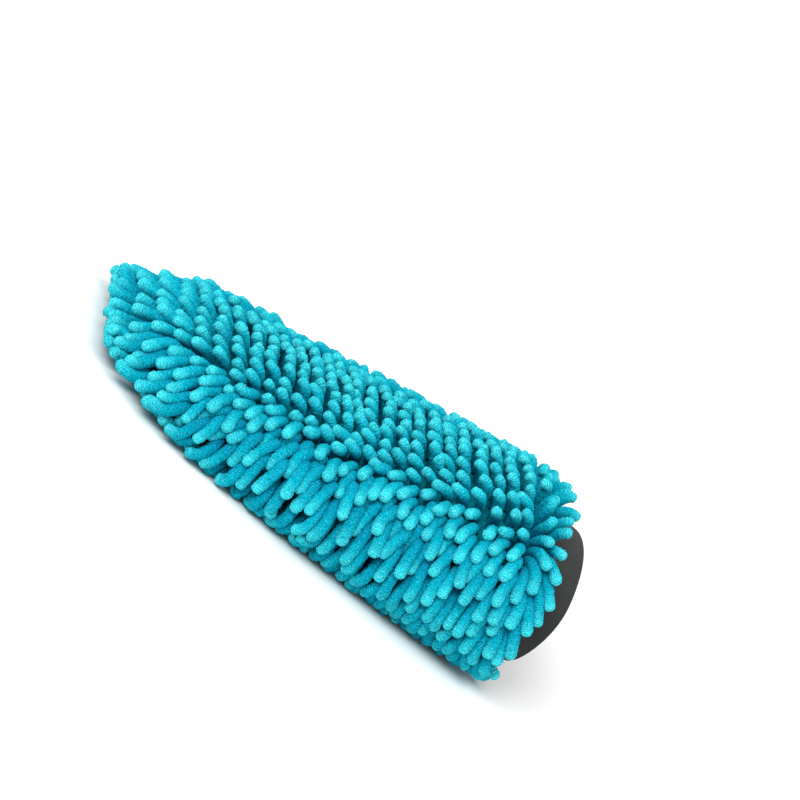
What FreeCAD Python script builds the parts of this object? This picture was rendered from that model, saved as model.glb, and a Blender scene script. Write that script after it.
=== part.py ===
import FreeCAD, Part
import math
import os
import Sketcher

# A chenille wash mitt lying on its back panel, in millimetres.
# +X runs from the closed end to the wrist opening, +Y across the hand, +Z up.
# The origin is under the middle of the mitt, on the surface that it lies on.

DRIVING_DIMENSIONS = [
    ("overall_length", 280.0),
    ("cuff_length", 45.0),
    # The closed end's pile reaches this far past the fabric.
    ("tip_pile", 22.5),
    # Pile depth beside, above and below the fabric; the pile below is pressed flat.
    ("side_pile", 22.0),
    ("top_pile", 17.0),
    ("bottom_pile", 11.0),
    # The pile under the mitt would bulge this far past the surface that presses it flat.
    ("pressed_bulge", 0.5),
    ("row_gap", 0.3),
    ("pile_clearance", 0.2),
    # The side seams lie in one plane, which climbs towards the wrist.
    ("seam_height_tip", 15.0),
    ("seam_height_wrist", 40.0),
    # How much of a dome's rise its two side arcs take up.
    ("shoulder_roundness", 0.62),
    # Stations along the fabric, from its closed edge, as shares of its length.
    ("shoulder_share", 0.065),
    ("front_share", 0.17),
    ("middle_share", 0.55),
    # Half-widths of the pile's outside at the stations.
    ("tip_half_width", 58.0),
    ("shoulder_half_width", 84.0),
    ("front_half_width", 97.0),
    ("middle_half_width", 100.0),
    ("wrist_half_width", 97.0),
    # Heights of the pile's crown at the stations.
    ("tip_crown", 36.0),
    ("shoulder_crown", 38.0),
    ("front_crown", 43.0),
    ("middle_crown", 59.0),
    ("wrist_crown", 88.0),
    # Fabric plies.
    ("backing_thickness", 1.2),
    ("lining_side_inset", 6.0),
    ("lining_face_inset", 1.6),
    ("lining_thickness", 0.8),
    ("edge_seam_inset", 1.5),
    ("edge_seam_width", 3.0),
    ("edge_seam_thickness", 2.0),
    ("wrist_seam_length", 3.5),
    # The elastic cuff: two plies of ribbed knit around a woven elastic.
    ("cuff_root_half_width", 73.0),
    ("cuff_root_crown", 71.0),
    ("cuff_rim_half_width", 63.0),
    ("cuff_rim_crown", 79.0),
    ("cuff_thickness", 3.2),
    ("cuff_joint_gap", 0.6),
    ("cuff_side_gap", 0.4),
    ("cuff_hem", 1.5),
    ("elastic_width", 26.0),
    ("elastic_thickness", 1.0),
    ("elastic_clearance", 0.1),
    ("side_seam_width", 2.0),
    ("side_seam_thickness", 2.0),
]

# Rows of pile on each panel.
ROW_COUNT = 24

document = FreeCAD.newDocument("wash_mitt")
sheet = document.addObject("Spreadsheet::Sheet", "Sheet")
for row, (alias, value) in enumerate(DRIVING_DIMENSIONS, start=1):
    sheet.set(f"A{row}", alias)
    sheet.set(f"B{row}", str(value))
    sheet.setAlias(f"B{row}", alias)
document.recompute()

sub_parts = []


class Size:
    """A length as a number of millimetres, with the sheet formula that gives it."""

    def __init__(self, value, formula=None):
        self.value = float(value)
        self.formula = formula or f"({self.value})"

    def combined(self, other, sign, value):
        return Size(value, f"({self.formula} {sign} {as_size(other).formula})")

    def __add__(self, other):
        return self.combined(other, "+", self.value + as_size(other).value)

    def __sub__(self, other):
        return self.combined(other, "-", self.value - as_size(other).value)

    def __mul__(self, other):
        return self.combined(other, "*", self.value * as_size(other).value)

    def __truediv__(self, other):
        return self.combined(other, "/", self.value / as_size(other).value)


def as_size(number_or_size):
    """A plain number as a Size; a Size is returned as it is."""
    if isinstance(number_or_size, Size):
        return number_or_size
    return Size(number_or_size)


def cell(alias):
    """The size held by one cell of the sheet."""
    return Size(getattr(sheet, alias), f"Sheet.{alias}")


# ---------------------------------------------------------------- places along the mitt

closed_x = cell("overall_length") / -2
rim_x = cell("overall_length") / 2
wrist_x = rim_x - cell("cuff_length")
fabric_tip_x = closed_x + cell("tip_pile")
fabric_length = wrist_x - fabric_tip_x
row_pitch = fabric_length / ROW_COUNT
seam_slope = (cell("seam_height_wrist") - cell("seam_height_tip")) / fabric_length
seam_tilt_degrees = math.degrees(math.atan(seam_slope.value))

STATION_NAMES = ["tip", "shoulder", "front", "middle", "wrist"]


def seam_height(x):
    """Height of the side seams' plane at a place along the mitt."""
    return cell("seam_height_tip") + (x - fabric_tip_x) * seam_slope


def station_x(name):
    """Place of a station of the fabric."""
    if name == "tip":
        return fabric_tip_x
    if name == "wrist":
        return wrist_x
    return fabric_tip_x + fabric_length * cell(f"{name}_share")


def pile_station(name):
    """Place, half-width, crown and floor of the pile's outside at a station."""
    x = station_x(name)
    if name in ("tip", "shoulder"):
        x = x - cell("tip_pile")
    floor = cell("pressed_bulge") * -1
    return x, cell(f"{name}_half_width"), cell(f"{name}_crown"), floor


def fabric_station(name, side_inset, face_inset):
    """The same for a surface inside the fabric's outer face, inset at sides and faces."""
    x = station_x(name)
    if name == "tip":
        x = x + side_inset
    half_width = cell(f"{name}_half_width") - cell("side_pile") - side_inset
    crown = cell(f"{name}_crown") - cell("top_pile") - face_inset
    floor = cell("bottom_pile") + face_inset
    return x, half_width, crown, floor


def cuff_station(name, inset):
    """The same for a surface inside the cuff's outer face, at its root or its rim."""
    x = wrist_x + cell("cuff_joint_gap") if name == "root" else rim_x
    half_width = cell(f"cuff_{name}_half_width") - inset
    crown = cell(f"cuff_{name}_crown") - inset
    floor = cell("bottom_pile") + inset
    return x, half_width, crown, floor


# ---------------------------------------------------------------- sketches and lofts

def origin_plane(body, role):
    """One of a body's own origin planes, such as YZ_Plane."""
    return next(item for item in body.Origin.OriginFeatures if item.Role == role)


def bind(sketch, constraint, size):
    """Add a dimension to a sketch and tie it to the sheet."""
    index = sketch.addConstraint(constraint)
    sketch.setExpression(f"Constraints[{index}]", size.formula)


def cross_section(body, name, x):
    """An empty sketch across the mitt at a place along it."""
    sketch = body.newObject("Sketcher::SketchObject", name)
    sketch.AttachmentSupport = [(origin_plane(body, "YZ_Plane"), "")]
    sketch.MapMode = "FlatFace"
    sketch.AttachmentOffset = FreeCAD.Placement(FreeCAD.Vector(0, 0, x.value), FreeCAD.Rotation())
    sketch.setExpression(".AttachmentOffset.Base.z", x.formula)
    return sketch


def point(y, z):
    return FreeCAD.Vector(y, z, 0)


def arc(centre, radius, start, end):
    circle = Part.Circle(centre, FreeCAD.Vector(0, 0, 1), radius)
    return Part.ArcOfCircle(circle, start, end)


def close_profile(sketch, half_width, base, radius, joints):
    """Join the four edges of a profile and give its base line and side arcs their sizes.

    Edge 0 is the base line, 1 and 3 the side arcs and 2 the crown or the floor.
    """
    (right_base, right_far), (left_far, left_base) = joints
    sketch.addConstraint(Sketcher.Constraint("Coincident", 0, 2, 1, right_base))
    sketch.addConstraint(Sketcher.Constraint("Tangent", 1, right_far, 2, left_far))
    sketch.addConstraint(Sketcher.Constraint("Tangent", 2, 3 - left_far, 3, 3 - left_base))
    sketch.addConstraint(Sketcher.Constraint("Coincident", 3, left_base, 0, 1))
    sketch.addConstraint(Sketcher.Constraint("Symmetric", 0, 1, 0, 2, -2))
    sketch.addConstraint(Sketcher.Constraint("PointOnObject", 1, 3, 0))
    sketch.addConstraint(Sketcher.Constraint("PointOnObject", 3, 3, 0))
    sketch.addConstraint(Sketcher.Constraint("Equal", 1, 3))
    bind(sketch, Sketcher.Constraint("DistanceX", -1, 1, 0, 2, half_width.value), half_width)
    bind(sketch, Sketcher.Constraint("DistanceY", -1, 1, 0, 2, base.value), base)
    bind(sketch, Sketcher.Constraint("Radius", 1, radius.value), radius)


def dome_profile(sketch, half_width, base, crown):
    """A flat base under a dome of three tangent arcs."""
    rise = crown - base
    side_radius = rise * cell("shoulder_roundness")
    reach = half_width - side_radius
    lift = rise - side_radius
    drop = (reach * reach - lift * lift) / (lift * 2)
    crown_radius = rise + drop
    turn = math.atan2(drop.value, reach.value)
    right_centre = point(reach.value, base.value)
    left_centre = point(-reach.value, base.value)
    crown_centre = point(0, base.value - drop.value)
    left_end = point(-half_width.value, base.value)
    right_end = point(half_width.value, base.value)
    sketch.addGeometry(Part.LineSegment(left_end, right_end))
    sketch.addGeometry(arc(right_centre, side_radius.value, 0, turn))
    sketch.addGeometry(arc(crown_centre, crown_radius.value, turn, math.pi - turn))
    sketch.addGeometry(arc(left_centre, side_radius.value, math.pi - turn, math.pi))
    close_profile(sketch, half_width, base, side_radius, ((1, 2), (1, 2)))
    bind(sketch, Sketcher.Constraint("Radius", 2, crown_radius.value), crown_radius)


def tray_profile(sketch, half_width, base, floor):
    """A flat top over a flat floor, with a quarter round down each side."""
    radius = base - floor
    flat = half_width.value - radius.value
    left_end = point(-half_width.value, base.value)
    right_end = point(half_width.value, base.value)
    sketch.addGeometry(Part.LineSegment(left_end, right_end))
    sketch.addGeometry(arc(point(flat, base.value), radius.value, -math.pi / 2, 0))
    sketch.addGeometry(Part.LineSegment(point(flat, floor.value), point(-flat, floor.value)))
    sketch.addGeometry(arc(point(-flat, base.value), radius.value, math.pi, 1.5 * math.pi))
    close_profile(sketch, half_width, base, radius, ((2, 1), (1, 1)))


def loft(name, half, stations, base_gap=0):
    """A solid of the upper or lower half, through its sections at the stations."""
    body = document.addObject("PartDesign::Body", name)
    sections = []
    for number, (x, half_width, crown, floor) in enumerate(stations, start=1):
        sketch = cross_section(body, f"{name}_section_{number}", x)
        if half == "upper":
            dome_profile(sketch, half_width, seam_height(x) + base_gap, crown)
        else:
            tray_profile(sketch, half_width, seam_height(x) - base_gap, floor)
        sections.append(sketch)
    document.recompute()
    solid = body.newObject("PartDesign::AdditiveLoft", f"{name}_loft")
    solid.Profile = sections[0]
    solid.Sections = sections[1:]
    solid.Ruled = True
    document.recompute()
    return body


def fabric_loft(name, half, side_inset, face_inset):
    """A solid of everything inside a surface of the mitt's fabric."""
    stations = [fabric_station(item, side_inset, face_inset) for item in STATION_NAMES]
    return loft(name, half, stations)


def cuff_loft(name, half, inset):
    """A solid of everything inside a surface of the cuff."""
    stations = [cuff_station(item, inset) for item in ("root", "rim")]
    return loft(name, half, stations, cell("cuff_side_gap") / 2)


# ---------------------------------------------------------------- booleans

def cut(name, base, tool):
    result = document.addObject("Part::Cut", name)
    result.Base = base
    result.Tool = tool
    return result


def slice_between(name, base, start_x, end_x):
    """The part of a solid between two places along the mitt, above the surface it lies on."""
    slab = document.addObject("Part::Box", f"{name}_slab")
    slab.setExpression("Length", (end_x - start_x).formula)
    slab.setExpression("Width", (cell("middle_half_width") * 3).formula)
    slab.setExpression("Height", (cell("wrist_crown") * 2).formula)
    slab.setExpression(".Placement.Base.x", start_x.formula)
    slab.setExpression(".Placement.Base.y", (cell("middle_half_width") * -1.5).formula)
    result = document.addObject("Part::Common", name)
    result.Base = base
    result.Tool = slab
    return result


def keep(feature, node):
    """Name a finished sub-part; the label is its node's name."""
    feature.Label = node
    sub_parts.append(feature)


# ---------------------------------------------------------------- sub-parts

def make_pile():
    """Rows of chenille pile, sewn across the upper and the back panel."""
    clearance = cell("pile_clearance") * -1
    for side, half in (("top", "upper"), ("bottom", "lower")):
        envelope_stations = [pile_station(name) for name in STATION_NAMES]
        envelope = loft(f"{side}_pile_envelope", half, envelope_stations, cell("pile_clearance") / 2)
        core = fabric_loft(f"{side}_pile_core", half, clearance, clearance)
        pile = cut(f"{side}_pile", envelope, core)
        for number in range(1, ROW_COUNT + 1):
            start_x = fabric_tip_x + row_pitch * (number - 1)
            end_x = start_x + row_pitch - cell("row_gap")
            if number == 1:
                start_x = closed_x
            name = f"{side}_pile_row_{number:02d}"
            keep(slice_between(f"{name}_solid", pile, start_x, end_x), name)


def make_backing():
    """The knitted panels that the pile is tufted into."""
    for side, half in (("top", "upper"), ("bottom", "lower")):
        outer = fabric_loft(f"{side}_backing_outside", half, as_size(0), as_size(0))
        inset = cell("backing_thickness")
        inner = fabric_loft(f"{side}_backing_inside", half, inset, inset)
        keep(cut(f"{side}_backing_solid", outer, inner), f"{side}_backing")


def make_lining():
    """The smooth bag that the hand slides into, set in from the side seams."""
    end_x = wrist_x - cell("wrist_seam_length") - 1
    side_inset = cell("lining_side_inset")
    face_inset = cell("lining_face_inset")
    thickness = cell("lining_thickness")
    for side, half in (("top", "upper"), ("bottom", "lower")):
        outer = fabric_loft(f"{side}_lining_outside", half, side_inset, face_inset)
        inner = fabric_loft(
            f"{side}_lining_inside", half, side_inset + thickness, face_inset + thickness
        )
        bag = cut(f"{side}_lining_bag", outer, inner)
        keep(slice_between(f"{side}_lining_solid", bag, closed_x, end_x), f"{side}_lining")


def seam_plane_sketch(body, name):
    """A sketch in the plane of the side seams, with its origin under the mitt's."""
    sketch = body.newObject("Sketcher::SketchObject", name)
    sketch.AttachmentSupport = [(origin_plane(body, "XY_Plane"), "")]
    sketch.MapMode = "FlatFace"
    tilt = FreeCAD.Rotation(FreeCAD.Vector(0, -1, 0), seam_tilt_degrees)
    origin_height = seam_height(as_size(0))
    sketch.AttachmentOffset = FreeCAD.Placement(
        FreeCAD.Vector(0, 0, origin_height.value), tilt
    )
    sketch.setExpression(".AttachmentOffset.Base.z", origin_height.formula)
    return sketch


def polygon(sketch, corners):
    """A closed run of lines through corners given as pairs of sizes in the seams' plane."""
    along = 1 / math.cos(math.radians(seam_tilt_degrees))
    places = [(x * along, y) for x, y in corners]
    first = sketch.GeometryCount
    count = len(places)
    for index, (x, y) in enumerate(places):
        next_x, next_y = places[(index + 1) % count]
        start = point(x.value, y.value)
        end = point(next_x.value, next_y.value)
        sketch.addGeometry(Part.LineSegment(start, end))
    for index, (x, y) in enumerate(places):
        line = first + index
        next_line = first + (index + 1) % count
        sketch.addConstraint(Sketcher.Constraint("Coincident", line, 2, next_line, 1))
        bind(sketch, Sketcher.Constraint("DistanceX", -1, 1, line, 1, x.value), x)
        bind(sketch, Sketcher.Constraint("DistanceY", -1, 1, line, 1, y.value), y)


def seam_pad(body, sketch, node, thickness):
    """A seam of a given thickness, half of it on each side of the seams' plane."""
    pad = body.newObject("PartDesign::Pad", f"{node}_pad")
    pad.Profile = sketch
    pad.SideType = "Symmetric"
    pad.setExpression("Length", thickness.formula)
    keep(body, node)


def make_edge_seam():
    """The overlocked edge that joins the two panels round the closed end and both sides."""
    body = document.addObject("PartDesign::Body", "edge_seam_body")
    sketch = seam_plane_sketch(body, "edge_seam_outline")
    end_x = wrist_x - cell("wrist_seam_length") - 1
    sides = []
    for inset in (cell("edge_seam_inset"), cell("edge_seam_inset") + cell("edge_seam_width")):
        edge = []
        for name in reversed(STATION_NAMES):
            x, half_width, _, _ = fabric_station(name, inset, as_size(0))
            if name == "wrist":
                x = end_x
            edge.append((x, half_width))
        mirrored = [(x, half_width * -1) for x, half_width in reversed(edge)]
        sides.append(edge + mirrored)
    outer, inner = sides
    polygon(sketch, outer + inner[::-1])
    seam_pad(body, sketch, "edge_seam", cell("edge_seam_thickness"))


def make_wrist_seam():
    """The turned-in edge that joins both panels and the lining to the cuff."""
    inset = cell("edge_seam_inset")
    thickness = cell("edge_seam_thickness")
    start_x = wrist_x - cell("wrist_seam_length")
    for side, half in (("top", "upper"), ("bottom", "lower")):
        outer = fabric_loft(f"{side}_wrist_seam_outside", half, inset, inset)
        inner = fabric_loft(f"{side}_wrist_seam_inside", half, inset + thickness, inset + thickness)
        ring = cut(f"{side}_wrist_seam_ring", outer, inner)
        node = f"{side}_wrist_seam"
        keep(slice_between(f"{node}_solid", ring, start_x, wrist_x), node)


def make_cuff():
    """The stretch cuff: a folded ribbed knit in two halves, each around half the elastic."""
    thickness = cell("cuff_thickness")
    band_inset = (thickness - cell("elastic_thickness")) / 2
    slot_inset = band_inset - cell("elastic_clearance")
    band_end_x = rim_x - cell("cuff_hem")
    band_start_x = band_end_x - cell("elastic_width")
    for side, half in (("upper", "upper"), ("lower", "lower")):
        outer = cuff_loft(f"cuff_{side}_outside", half, as_size(0))
        inner = cuff_loft(f"cuff_{side}_inside", half, thickness)
        shell = cut(f"cuff_{side}_shell", outer, inner)
        slot_outer = cuff_loft(f"cuff_{side}_slot_outside", half, slot_inset)
        slot_inner = cuff_loft(f"cuff_{side}_slot_inside", half, thickness - slot_inset)
        slot_ring = cut(f"cuff_{side}_slot_ring", slot_outer, slot_inner)
        slot = slice_between(
            f"cuff_{side}_slot",
            slot_ring,
            band_start_x - cell("elastic_clearance"),
            band_end_x + cell("elastic_clearance"),
        )
        keep(cut(f"cuff_{side}_solid", shell, slot), f"cuff_{side}")
        band_outer = cuff_loft(f"elastic_{side}_outside", half, band_inset)
        band_inner = cuff_loft(f"elastic_{side}_inside", half, thickness - band_inset)
        ring = cut(f"elastic_{side}_ring", band_outer, band_inner)
        node = f"cuff_elastic_{side}"
        keep(slice_between(f"{node}_solid", ring, band_start_x, band_end_x), node)


def cuff_seam_corner(name, inset, sign):
    """One corner of a side seam's strip, which stops short of the folded rim."""
    x, half_width, _, _ = cuff_station(name, inset)
    if name == "rim":
        x = x - cell("cuff_hem")
    return x, half_width * sign


def make_cuff_side_seams():
    """The two seams inside the cuff, where its halves are sewn together."""
    body = document.addObject("PartDesign::Body", "cuff_side_seams_body")
    # The two strips are one sub-part.
    body.AllowCompound = True
    sketch = seam_plane_sketch(body, "cuff_side_seams_outline")
    outer = cell("cuff_thickness") + cell("cuff_side_gap")
    inner = outer + cell("side_seam_width")
    for sign in (1, -1):
        polygon(sketch, [
            cuff_seam_corner("root", outer, sign),
            cuff_seam_corner("rim", outer, sign),
            cuff_seam_corner("rim", inner, sign),
            cuff_seam_corner("root", inner, sign),
        ])
    seam_pad(body, sketch, "cuff_side_seams", cell("side_seam_thickness"))


def check_document():
    """Stop on anything that failed to build."""
    for item in document.Objects:
        if "Invalid" in item.State or "Error" in item.State:
            raise RuntimeError(f"{item.Name} failed: {item.State}")
    for part in sub_parts:
        if part.Shape.isNull() or not part.Shape.isValid() or not part.Shape.Solids:
            raise RuntimeError(f"{part.Label} has no valid solid")


make_pile()
make_backing()
make_lining()
make_edge_seam()
make_wrist_seam()
make_cuff()
make_cuff_side_seams()
document.recompute()
check_document()

os.makedirs("parts", exist_ok=True)
for sub_part in sub_parts:
    sub_part.Shape.exportStep(f"parts/{sub_part.Label}.step")
    print(sub_part.Label, len(sub_part.Shape.Solids), round(sub_part.Shape.Volume))
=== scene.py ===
import itertools
import math

import bpy
import numpy as np
from mathutils import Matrix, Vector
from mathutils.bvhtree import BVHTree


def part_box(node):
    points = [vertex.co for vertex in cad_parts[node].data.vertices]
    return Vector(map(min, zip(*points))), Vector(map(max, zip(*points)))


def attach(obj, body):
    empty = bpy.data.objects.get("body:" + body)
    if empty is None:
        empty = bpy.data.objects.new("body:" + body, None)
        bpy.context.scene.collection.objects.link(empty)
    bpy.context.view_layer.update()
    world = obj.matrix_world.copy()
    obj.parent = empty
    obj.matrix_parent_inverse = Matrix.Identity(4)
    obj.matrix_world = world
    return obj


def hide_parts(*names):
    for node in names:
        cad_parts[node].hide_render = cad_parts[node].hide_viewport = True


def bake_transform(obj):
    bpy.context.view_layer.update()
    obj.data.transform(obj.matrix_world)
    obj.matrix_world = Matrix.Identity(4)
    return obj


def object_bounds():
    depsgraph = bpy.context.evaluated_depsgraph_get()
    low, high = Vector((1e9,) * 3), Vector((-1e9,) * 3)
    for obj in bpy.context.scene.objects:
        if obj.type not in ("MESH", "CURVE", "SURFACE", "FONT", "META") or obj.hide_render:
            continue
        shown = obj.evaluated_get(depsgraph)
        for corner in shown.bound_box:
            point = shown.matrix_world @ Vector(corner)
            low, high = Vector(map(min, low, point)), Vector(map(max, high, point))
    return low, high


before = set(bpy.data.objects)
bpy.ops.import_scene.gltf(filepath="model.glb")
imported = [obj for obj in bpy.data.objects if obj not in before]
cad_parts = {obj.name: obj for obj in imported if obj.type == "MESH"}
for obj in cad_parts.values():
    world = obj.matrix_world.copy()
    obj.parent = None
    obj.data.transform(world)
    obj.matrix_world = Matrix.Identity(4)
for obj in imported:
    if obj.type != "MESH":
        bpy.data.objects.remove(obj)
cad_low, cad_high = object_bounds()

MM = 0.001
SEED = 7
ROW_COUNT = 24
random = np.random.default_rng(SEED)


# ======== camera, light and floor

# The mitt is seen from its near side and a little from its closed end, by a rolled camera.
VIEW_AZIMUTH = math.radians(-16.4)
VIEW_ELEVATION = math.radians(16.5)
VIEW_ROLL = math.radians(45.3)
VIEW_DISTANCE = 2.4
LENS_MM = 201.0
FAR_VIEW = 50.0
# The picture's middle is this far right of and above the mitt's own middle, in the picture.
AIM_RIGHT = 42.5 * MM
AIM_UP = 19.0 * MM
MITT_MIDDLE = Vector((-10 * MM, 0, 30 * MM))

WORLD_STRENGTH = 0.62
# Each sun lamp's name, the way to it, its strength and how wide it looks, in degrees.
LAMPS = (
    ("key", (-0.75, -0.75, 0.9), 2.1, 35),
    ("top", (0.2, -0.2, 1.0), 1.1, 60),
)
FLOOR_REACH = 12.0
FLOOR_TONE = 0.9


def make_camera():
    """A camera at the photograph's viewing angle, rolled so that the mitt points down right."""
    a, e = VIEW_AZIMUTH, VIEW_ELEVATION
    back = Vector((math.sin(a) * math.cos(e), -math.cos(a) * math.cos(e), math.sin(e)))
    level_right = Vector((0, 0, 1)).cross(back).normalized()
    level_up = back.cross(level_right)
    right = level_right * math.cos(VIEW_ROLL) + level_up * math.sin(VIEW_ROLL)
    up = level_up * math.cos(VIEW_ROLL) - level_right * math.sin(VIEW_ROLL)
    place = MITT_MIDDLE + right * AIM_RIGHT + up * AIM_UP + back * VIEW_DISTANCE
    data = bpy.data.cameras.new("camera")
    data.lens = LENS_MM
    data.clip_end = FAR_VIEW
    camera = bpy.data.objects.new("camera", data)
    turned = Matrix((right, up, back)).transposed().to_4x4()
    camera.matrix_world = Matrix.Translation(place) @ turned
    bpy.context.scene.collection.objects.link(camera)
    bpy.context.scene.camera = camera


def soft_sun(name, toward, strength, spread):
    """An even, soft light from one side, the same at every place."""
    data = bpy.data.lights.new(name, "SUN")
    data.energy = strength
    data.angle = math.radians(spread)
    light = bpy.data.objects.new(name, data)
    light.rotation_mode = "QUATERNION"
    light.rotation_quaternion = Vector(toward).to_track_quat("Z", "Y")
    bpy.context.scene.collection.objects.link(light)


def make_floor():
    """A wide pale floor, which is the stage and no part of the mitt."""
    mesh = bpy.data.meshes.new("floor")
    r = FLOOR_REACH
    corners = [(-r, -r, 0), (r, -r, 0), (r, r, 0), (-r, r, 0)]
    mesh.from_pydata(corners, [], [(0, 1, 2, 3)])
    floor = bpy.data.objects.new("floor", mesh)
    bpy.context.scene.collection.objects.link(floor)
    material, _, shader = new_material("floor")
    set_inputs(shader, {"Base Color": (*grey(FLOOR_TONE), 1), "Roughness": 0.9})
    mesh.materials.append(material)


def make_studio():
    """Soft light from all sides and two soft lamps over a pale floor."""
    world = bpy.data.worlds.new("studio")
    bpy.context.scene.world = world
    world.use_nodes = True
    background = world.node_tree.nodes["Background"]
    set_inputs(background, {"Color": (1, 1, 1, 1), "Strength": WORLD_STRENGTH})
    for lamp in LAMPS:
        soft_sun(*lamp)
    make_floor()
    bpy.context.scene.view_settings.view_transform = "Standard"


# ======== the mitt's fabric surface

# The surface is kept as its distance from a line along the mitt in the side seams' plane,
# at stations along X and at angles round that line: 0 is +Y and a quarter turn is up.
ANGLE_COUNT = 128
STATION_STEP = 3 * MM
STATION_MARGIN = 0.6 * MM
SMOOTHING_PASSES = 3
FAR_OUTSIDE = 300 * MM
SLIT_STEP = Vector((-0.6 * MM, 0, 0))
SEAM_NUDGE = 0.01
# Steps along X and round the line over which slopes are taken.
SLOPE_STEP = 2 * MM
SLOPE_TURN = 0.04
# The angles between which each panel lies, and the half of the cuff beside it.
HALVES = {"top": (0.0, math.pi), "bottom": (-math.pi, 0.0)}
CUFF_HALF = {"top": "upper", "bottom": "lower"}

seam_low, seam_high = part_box("edge_seam")
SEAM_HALF_THICKNESS = 1 * MM
SEAM_SLOPE = (seam_high.z - seam_low.z - 2 * SEAM_HALF_THICKNESS) / (seam_high.x - seam_low.x)
tip_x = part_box("top_backing")[0].x
wrist_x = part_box("top_backing")[1].x
rim_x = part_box("cuff_upper")[1].x
pitch = (wrist_x - tip_x) / ROW_COUNT


def seam_z(x):
    """Height of the side seams at a place along the mitt."""
    return seam_low.z + SEAM_HALF_THICKNESS + (x - seam_low.x) * SEAM_SLOPE


def node_tree(*names):
    """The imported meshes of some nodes, ready for ray casting."""
    points, faces = [], []
    for name in names:
        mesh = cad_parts[name].data
        first = len(points)
        points += [tuple(v.co) for v in mesh.vertices]
        faces += [tuple(first + i for i in p.vertices) for p in mesh.polygons]
    return BVHTree.FromPolygons(points, faces)


def outside_distances(tree, stations):
    """How far out the solid's outside is at each station and angle."""
    angles = np.linspace(-math.pi, math.pi, ANGLE_COUNT + 1)
    table = np.zeros((len(stations), len(angles)))
    for i, x in enumerate(stations):
        middle = Vector((x, 0, seam_z(x)))
        for j, angle in enumerate(angles):
            # A hair off the seam's own plane, where the halves may leave a slit.
            nudge = SEAM_NUDGE if abs(math.sin(angle)) < SEAM_NUDGE / 10 else 0.0
            out = Vector((0, math.cos(angle + nudge), math.sin(angle + nudge)))
            hit = tree.ray_cast(middle + out * FAR_OUTSIDE, -out)[0]
            if hit is None:
                # The ray went down the slit between two rows of the pile.
                hit = tree.ray_cast(middle + out * FAR_OUTSIDE + SLIT_STEP, -out)[0]
            table[i, j] = (hit - middle).length
    return table


def smoothed(table, passes):
    """A table with neighbours averaged along both of its directions."""
    for _ in range(passes):
        along = np.vstack([table[:1], table, table[-1:]])
        table = (along[:-2] + 2 * along[1:-1] + along[2:]) / 4
        ring = np.hstack([table[:, -2:-1], table, table[:, 1:2]])
        table = (ring[:, :-2] + 2 * ring[:, 1:-1] + ring[:, 2:]) / 4
    return table


class Skin:
    """A tube-like surface around the mitt's axis, as distances that can be read anywhere."""

    def __init__(self, stations, table):
        self.stations = stations
        self.table = table

    def distance(self, x, angle):
        """Distance from the line to the surface, read between the table's entries."""
        i = np.interp(x, self.stations, np.arange(len(self.stations)))
        j = (np.mod(angle + math.pi, 2 * math.pi)) / (2 * math.pi) * ANGLE_COUNT
        i0 = np.clip(np.floor(i).astype(int), 0, len(self.stations) - 2)
        j0 = np.clip(np.floor(j).astype(int), 0, ANGLE_COUNT - 1)
        fi, fj = i - i0, j - j0
        t = self.table
        low = t[i0, j0] * (1 - fj) + t[i0, j0 + 1] * fj
        high = t[i0 + 1, j0] * (1 - fj) + t[i0 + 1, j0 + 1] * fj
        return low * (1 - fi) + high * fi

    def point(self, x, angle, inset=0.0, scale=1.0):
        """A place on the surface, or inset from it, or shrunk toward the line."""
        x, angle = np.broadcast_arrays(np.asarray(x, float), np.asarray(angle, float))
        r = np.maximum(self.distance(x, angle) - inset, 0) * scale
        return np.stack([x, r * np.cos(angle), seam_z(x) + r * np.sin(angle)], axis=-1)

    def normal(self, x, angle):
        """The way out of the surface at a place on it."""
        along = self.point(x + SLOPE_STEP, angle) - self.point(x - SLOPE_STEP, angle)
        around = self.point(x, angle + SLOPE_TURN) - self.point(x, angle - SLOPE_TURN)
        return unit(np.cross(around, along))

    def slopes(self, x, angle, distance):
        """How steeply the surface moves away from the line, along it and round it."""
        rise_along = self.distance(x + SLOPE_STEP, angle) - self.distance(x - SLOPE_STEP, angle)
        rise_round = self.distance(x, angle + SLOPE_TURN) - self.distance(x, angle - SLOPE_TURN)
        return rise_along / (2 * SLOPE_STEP), rise_round / (2 * SLOPE_TURN * distance)


def unit(v):
    """Vectors made 1 long."""
    return v / np.maximum(np.linalg.norm(v, axis=-1, keepdims=True), 1e-12)


def smoothstep(low, high, v):
    """A soft step from 0 at low to 1 at high."""
    t = np.clip((v - low) / (high - low), 0, 1)
    return t * t * (3 - 2 * t)


def fabric_and_cuff_skin():
    """The fabric's outside, and the cuff's outside beyond it, as one skin."""
    fabric_x = np.arange(tip_x + STATION_MARGIN, wrist_x - STATION_MARGIN, STATION_STEP)
    cuff_x = np.arange(wrist_x + 2 * STATION_MARGIN, rim_x - STATION_MARGIN, STATION_STEP)
    fabric = outside_distances(node_tree("top_backing", "bottom_backing"), fabric_x)
    cuff = outside_distances(node_tree("cuff_upper", "cuff_lower"), cuff_x)
    stations = np.concatenate([fabric_x, cuff_x])
    return Skin(stations, smoothed(np.vstack([fabric, cuff]), SMOOTHING_PASSES))


def pile_outer_skin():
    """The outside of the space that the CAD gives the pile."""
    names = [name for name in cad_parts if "_pile_row_" in name]
    stations = np.arange(cad_low.x + STATION_MARGIN, wrist_x, STATION_STEP)
    distances = outside_distances(node_tree(*names), stations)
    return Skin(stations, smoothed(distances, SMOOTHING_PASSES))


skin = fabric_and_cuff_skin()
pile_skin = pile_outer_skin()


# ======== where the noodles grow

NODE_COUNT = 9
CROWN_LENGTH = 23.5 * MM
FLANK_LENGTH = 33 * MM
CROWN_RADIUS = 2.9 * MM
FLANK_RADIUS = 3.2 * MM
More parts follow.
